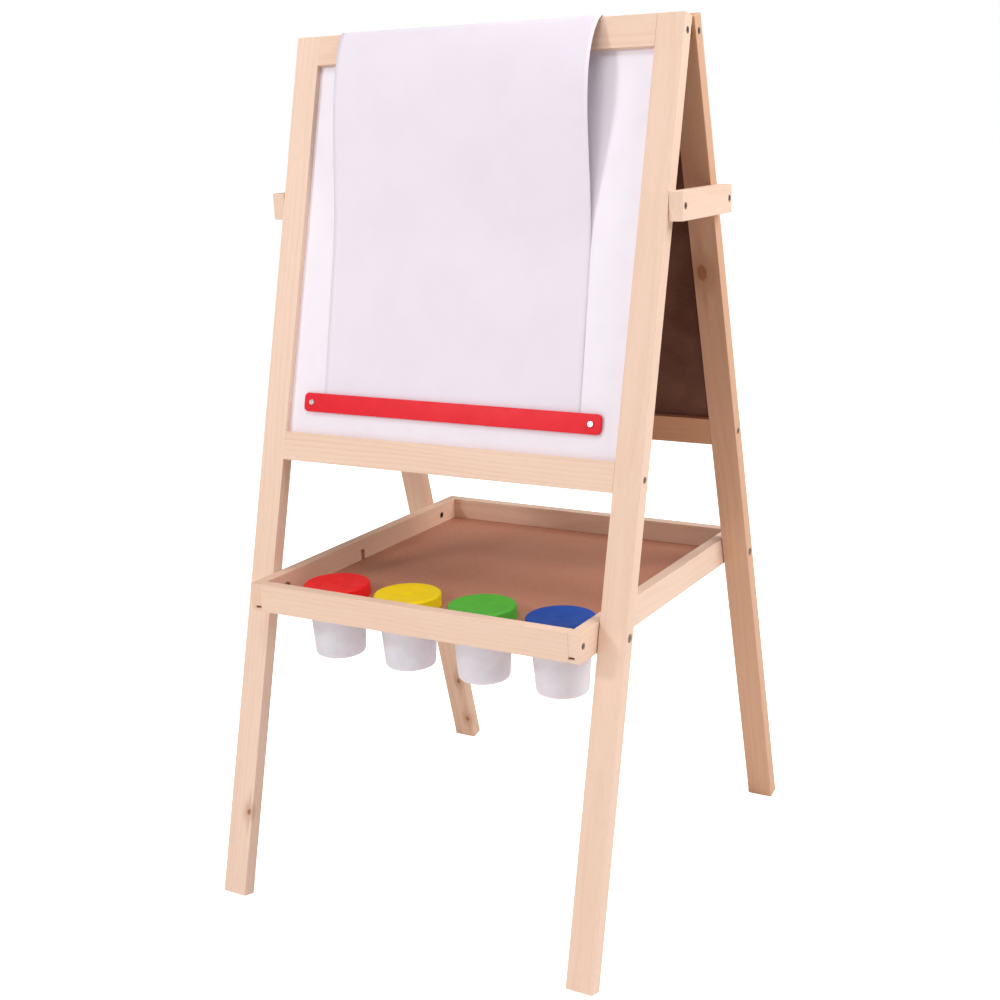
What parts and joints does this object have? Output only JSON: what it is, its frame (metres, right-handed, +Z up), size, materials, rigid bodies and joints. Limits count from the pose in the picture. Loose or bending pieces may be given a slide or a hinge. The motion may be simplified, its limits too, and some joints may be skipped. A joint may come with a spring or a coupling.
{
  "type": "kids easel",
  "caption": "Wooden double-sided children's easel with a whiteboard, a chalkboard, a paper roll, a tray and lidded paint pots",
  "frame": {"origin": "on the floor, midway between the feet and under the top hinge line", "axes": "+X right along the boards, -Y the whiteboard side, +Y the chalkboard side, +Z up"},
  "size_m": [0.5608, 0.5826, 1.055],
  "materials": {
    "natural_wood": "sanded, clear satin lacquer",
    "whiteboard_face": "smooth glossy white coating on hardboard",
    "chalkboard_face": "matte black chalkboard paint outside, bare brown hardboard inside",
    "hardboard_brown": "smooth bare hardboard",
    "strip_red": "semi-matte moulded plastic",
    "screw_steel": "zinc plated",
    "hinge_brass": "brass plated",
    "paper_white": "plain uncoated drawing paper",
    "cardboard": "plain grey-brown board",
    "cup_clear": "translucent milky plastic",
    "lid_red": "moulded plastic",
    "lid_yellow": "moulded plastic",
    "lid_green": "moulded plastic",
    "lid_blue": "moulded plastic"
  },
  "bodies": {
    "front_frame": {"front_left_leg": "natural_wood", "front_right_leg": "natural_wood", "front_top_rail": "natural_wood", "front_bottom_rail": "natural_wood", "whiteboard": "whiteboard_face", "front_rail_screws": "screw_steel", "clamp_strip": "strip_red", "clamp_strip_screws": "screw_steel", "clamp_strip_nuts": "screw_steel", "roll_bracket_left": "natural_wood", "roll_bracket_right": "natural_wood", "roll_bracket_screws": "screw_steel", "roll_dowel": "natural_wood", "front_hinge_leaves": "hinge_brass", "front_hinge_screws": "hinge_brass", "hinge_pins": "hinge_brass", "paper_sheet": "paper_white", "bar_pivot_screws": "screw_steel", "tray_front_bolts": "screw_steel", "tray_front_nuts": "screw_steel"},
    "rear_frame": {"rear_left_leg": "natural_wood", "rear_right_leg": "natural_wood", "rear_top_rail": "natural_wood", "rear_bottom_rail": "natural_wood", "chalkboard": "chalkboard_face", "rear_rail_screws": "screw_steel", "rear_hinge_leaves": "hinge_brass", "rear_hinge_screws": "hinge_brass", "tray_rear_bolts": "screw_steel"},
    "tray": {"tray_left_rail": "natural_wood", "tray_right_rail": "natural_wood", "tray_front_rail": "natural_wood", "tray_rear_rail": "natural_wood", "tray_base": "hardboard_brown", "tray_corner_screws": "screw_steel", "tray_rear_inserts": "screw_steel"},
    "paper_roll": {"paper_roll": "paper_white", "roll_core": "cardboard"},
    "left_bar": {"left_bar": "natural_wood", "left_bar_screw": "screw_steel"},
    "right_bar": {"right_bar": "natural_wood", "right_bar_screw": "screw_steel"},
    "pot_red": {"cup_red": "cup_clear"},
    "lid_red": {"lid_red": "lid_red"},
    "pot_yellow": {"cup_yellow": "cup_clear"},
    "lid_yellow": {"lid_yellow": "lid_yellow"},
    "pot_green": {"cup_green": "cup_clear"},
    "lid_green": {"lid_green": "lid_green"},
    "pot_blue": {"cup_blue": "cup_clear"},
    "lid_blue": {"lid_blue": "lid_blue"}
  },
  "joints": [
    {"name": "rear_frame_fold", "type": "hinge", "parent": "front_frame", "child": "rear_frame", "pos_m": [0, 0, 1.0476], "axis": [-1, 0, 0], "range_deg": [0, 24.5]},
    {"name": "tray_drop", "type": "hinge", "parent": "front_frame", "child": "tray", "pos_m": [0, -0.18298, 0.388], "axis": [-1, 0, 0], "range_deg": [0, 60]},
    {"name": "left_bar_swing", "type": "hinge", "parent": "front_frame", "child": "left_bar", "pos_m": [-0.272, -0.06376, 0.849], "axis": [1, 0, 0], "range_deg": [0, 75]},
    {"name": "right_bar_swing", "type": "hinge", "parent": "front_frame", "child": "right_bar", "pos_m": [0.272, -0.06376, 0.849], "axis": [1, 0, 0], "range_deg": [0, 75]},
    {"name": "paper_roll_turn", "type": "hinge", "parent": "front_frame", "child": "paper_roll", "pos_m": [-0.017, -0.06346, 0.75827], "axis": [1, 0, 0], "continuous": true},
    {"name": "pot_red_lift", "type": "slide", "parent": "tray", "child": "pot_red", "axis": [0, 0, 1], "range_m": [0, 0.09]},
    {"name": "lid_red_lift", "type": "slide", "parent": "pot_red", "child": "lid_red", "axis": [0, 0, 1], "range_m": [0, 0.035]},
    {"name": "pot_yellow_lift", "type": "slide", "parent": "tray", "child": "pot_yellow", "axis": [0, 0, 1], "range_m": [0, 0.09]},
    {"name": "lid_yellow_lift", "type": "slide", "parent": "pot_yellow", "child": "lid_yellow", "axis": [0, 0, 1], "range_m": [0, 0.035]},
    {"name": "pot_green_lift", "type": "slide", "parent": "tray", "child": "pot_green", "axis": [0, 0, 1], "range_m": [0, 0.09]},
    {"name": "lid_green_lift", "type": "slide", "parent": "pot_green", "child": "lid_green", "axis": [0, 0, 1], "range_m": [0, 0.035]},
    {"name": "pot_blue_lift", "type": "slide", "parent": "tray", "child": "pot_blue", "axis": [0, 0, 1], "range_m": [0, 0.09]},
    {"name": "lid_blue_lift", "type": "slide", "parent": "pot_blue", "child": "lid_blue", "axis": [0, 0, 1], "range_m": [0, 0.035]}
  ]
}
